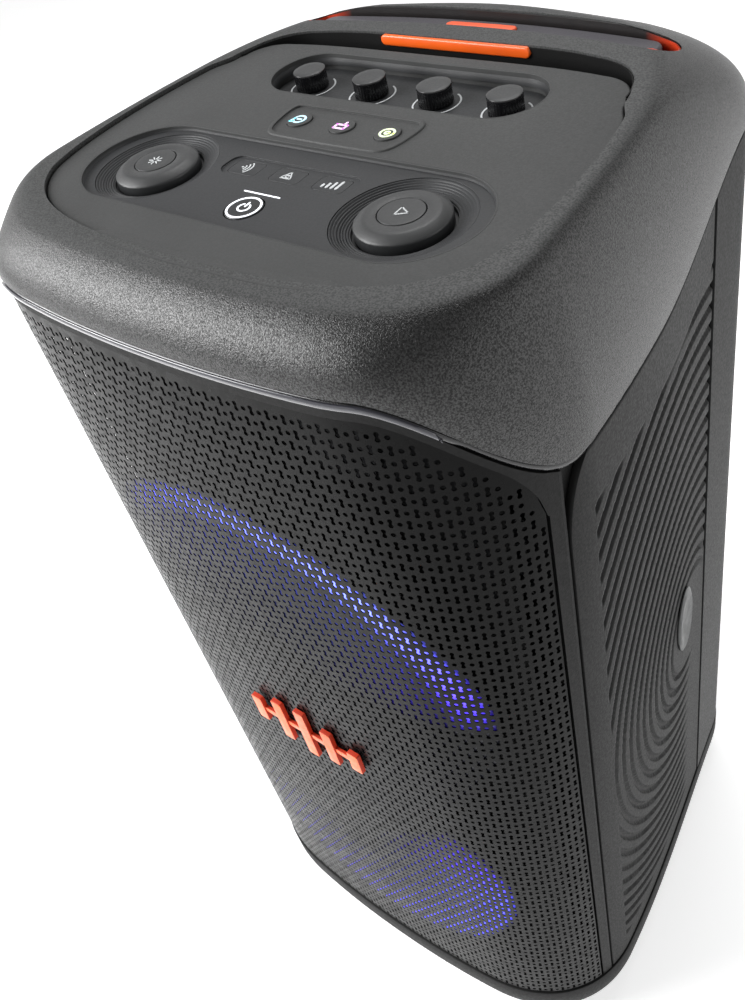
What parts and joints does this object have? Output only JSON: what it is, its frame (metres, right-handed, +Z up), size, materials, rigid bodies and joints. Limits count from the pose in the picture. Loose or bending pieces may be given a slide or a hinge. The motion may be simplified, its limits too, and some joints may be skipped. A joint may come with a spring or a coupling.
{
  "type": "party speaker",
  "caption": "Tall portable party speaker with a perforated front, lit woofers, a control panel on top, a carry bar, a telescopic handle and rear wheels.",
  "frame": {"origin": "centre of the bounding box's base, on the floor under the speaker", "axes": "+Z up, the perforated front faces -Y, +X to the right seen from the front"},
  "size_m": [0.3346, 0.385, 0.6645],
  "materials": {
    "satin_shell": "fine satin texture",
    "matte_panel": "matte black plastic",
    "soft_panel": "soft-touch coating",
    "gloss_trim": "polished black",
    "grille_metal": "perforated steel, black paint",
    "rubber": "matte",
    "orange": "bright orange",
    "cone_paper": "coated paper",
    "bright_metal": "satin",
    "cast_metal": "painted",
    "circuit": "laminate with parts",
    "light_guide": "translucent, lit blue-violet"
  },
  "bodies": {
    "body": {"ac_inlet": "matte_panel", "amplifier_board": "circuit", "axle": "bright_metal", "base_plate": "matte_panel", "bass_port": "matte_panel", "battery_pack": "rubber", "cabinet_shell": "matte_panel", "control_panel": "soft_panel", "control_pod": "matte_panel", "foot_left": "rubber", "foot_right": "rubber", "front_badge": "orange", "front_baffle": "matte_panel", "front_grille": "grille_metal", "grip_strip": "orange", "handle_guide_left": "cast_metal", "handle_guide_right": "cast_metal", "head_shell": "satin_shell", "io_panel": "matte_panel", "light_guide_lower": "light_guide", "light_guide_upper": "light_guide", "mic_plate": "matte_panel", "power_supply": "cast_metal", "rear_cover": "matte_panel", "side_panel_left": "matte_panel", "side_panel_right": "matte_panel", "slot_liner": "orange", "trim_band": "gloss_trim", "tweeter_left": "cone_paper", "tweeter_right": "cone_paper", "woofer_basket_lower": "cast_metal", "woofer_basket_upper": "cast_metal", "woofer_surround_lower": "rubber", "woofer_surround_upper": "rubber"},
    "woofer_upper": {"woofer_cone_upper": "cone_paper"},
    "woofer_lower": {"woofer_cone_lower": "cone_paper"},
    "handle": {"handle_grip": "satin_shell", "handle_tube_left": "bright_metal", "handle_tube_right": "bright_metal"},
    "release_button": {"release_button": "orange"},
    "wheel_left": {"wheel_hub_left": "matte_panel", "wheel_tyre_left": "rubber"},
    "wheel_right": {"wheel_hub_right": "matte_panel", "wheel_tyre_right": "rubber"},
    "light_dial": {"light_dial": "matte_panel"},
    "light_button": {"light_button": "matte_panel"},
    "volume_dial": {"volume_dial": "matte_panel"},
    "play_button": {"play_button": "matte_panel"},
    "mic_knob_1": {"mic_knob_1": "matte_panel"},
    "mic_knob_2": {"mic_knob_2": "matte_panel"},
    "mic_knob_3": {"mic_knob_3": "matte_panel"},
    "mic_knob_4": {"mic_knob_4": "matte_panel"},
    "power_button": {"power_button": "matte_panel"},
    "pairing_key": {"pairing_key": "matte_panel"},
    "link_key": {"link_key": "matte_panel"},
    "boost_key": {"boost_key": "matte_panel"},
    "effect_key_1": {"effect_key_1": "soft_panel"},
    "effect_key_2": {"effect_key_2": "soft_panel"},
    "effect_key_3": {"effect_key_3": "soft_panel"}
  },
  "joints": [
    {"name": "woofer_upper_stroke", "type": "slide", "parent": "body", "child": "woofer_upper", "axis": [0, -1, 0], "range_m": [-0.003, 0.003], "stiffness_N_per_m": 3000, "deforming": ["woofer_surround_upper"]},
    {"name": "woofer_lower_stroke", "type": "slide", "parent": "body", "child": "woofer_lower", "axis": [0, -1, 0], "range_m": [-0.003, 0.003], "stiffness_N_per_m": 3000, "deforming": ["woofer_surround_lower"]},
    {"name": "handle_slide", "type": "slide", "parent": "body", "child": "handle", "axis": [0, 0, 1], "range_m": [0, 0.35]},
    {"name": "release_press", "type": "slide", "parent": "handle", "child": "release_button", "axis": [0, 0, -1], "range_m": [0, 0.0022], "stiffness_N_per_m": 900},
    {"name": "wheel_left_spin", "type": "hinge", "parent": "body", "child": "wheel_left", "pos_m": [-0.079, 0.1475, 0.0465], "axis": [1, 0, 0], "continuous": true},
    {"name": "wheel_right_spin", "type": "hinge", "parent": "body", "child": "wheel_right", "pos_m": [0.079, 0.1475, 0.0465], "axis": [1, 0, 0], "continuous": true},
    {"name": "light_dial_turn", "type": "hinge", "parent": "body", "child": "light_dial", "pos_m": [-0.0771, -0.0914, 0.6548], "axis": [0, 0, 1], "continuous": true},
    {"name": "volume_dial_turn", "type": "hinge", "parent": "body", "child": "volume_dial", "pos_m": [0.0771, -0.0914, 0.6548], "axis": [0, 0, 1], "continuous": true},
    {"name": "light_button_press", "type": "slide", "parent": "light_dial", "child": "light_button", "axis": [0, 0, -1], "range_m": [0, 0.0008], "stiffness_N_per_m": 900},
    {"name": "play_button_press", "type": "slide", "parent": "volume_dial", "child": "play_button", "axis": [0, 0, -1], "range_m": [0, 0.0008], "stiffness_N_per_m": 900},
    {"name": "mic_knob_1_turn", "type": "hinge", "parent": "body", "child": "mic_knob_1", "pos_m": [-0.0618, 0.0117, 0.6543], "axis": [0, 0, 1], "range_deg": [-150, 150]},
    {"name": "mic_knob_2_turn", "type": "hinge", "parent": "body", "child": "mic_knob_2", "pos_m": [-0.0206, 0.0117, 0.6543], "axis": [0, 0, 1], "range_deg": [-150, 150]},
    {"name": "mic_knob_3_turn", "type": "hinge", "parent": "body", "child": "mic_knob_3", "pos_m": [0.0206, 0.0117, 0.6543], "axis": [0, 0, 1], "range_deg": [-150, 150]},
    {"name": "mic_knob_4_turn", "type": "hinge", "parent": "body", "child": "mic_knob_4", "pos_m": [0.0618, 0.0117, 0.6543], "axis": [0, 0, 1], "range_deg": [-150, 150]},
    {"name": "power_button_press", "type": "slide", "parent": "body", "child": "power_button", "axis": [0, 0, -1], "range_m": [0, 0.0008], "stiffness_N_per_m": 900},
    {"name": "pairing_key_press", "type": "slide", "parent": "body", "child": "pairing_key", "axis": [0, 0, -1], "range_m": [0, 0.0008], "stiffness_N_per_m": 900},
    {"name": "link_key_press", "type": "slide", "parent": "body", "child": "link_key", "axis": [0, 0, -1], "range_m": [0, 0.0008], "stiffness_N_per_m": 900},
    {"name": "boost_key_press", "type": "slide", "parent": "body", "child": "boost_key", "axis": [0, 0, -1], "range_m": [0, 0.0008], "stiffness_N_per_m": 900},
    {"name": "effect_key_1_press", "type": "slide", "parent": "body", "child": "effect_key_1", "axis": [0, 0, -1], "range_m": [0, 0.0008], "stiffness_N_per_m": 900},
    {"name": "effect_key_2_press", "type": "slide", "parent": "body", "child": "effect_key_2", "axis": [0, 0, -1], "range_m": [0, 0.0008], "stiffness_N_per_m": 900},
    {"name": "effect_key_3_press", "type": "slide", "parent": "body", "child": "effect_key_3", "axis": [0, 0, -1], "range_m": [0, 0.0008], "stiffness_N_per_m": 900}
  ]
}
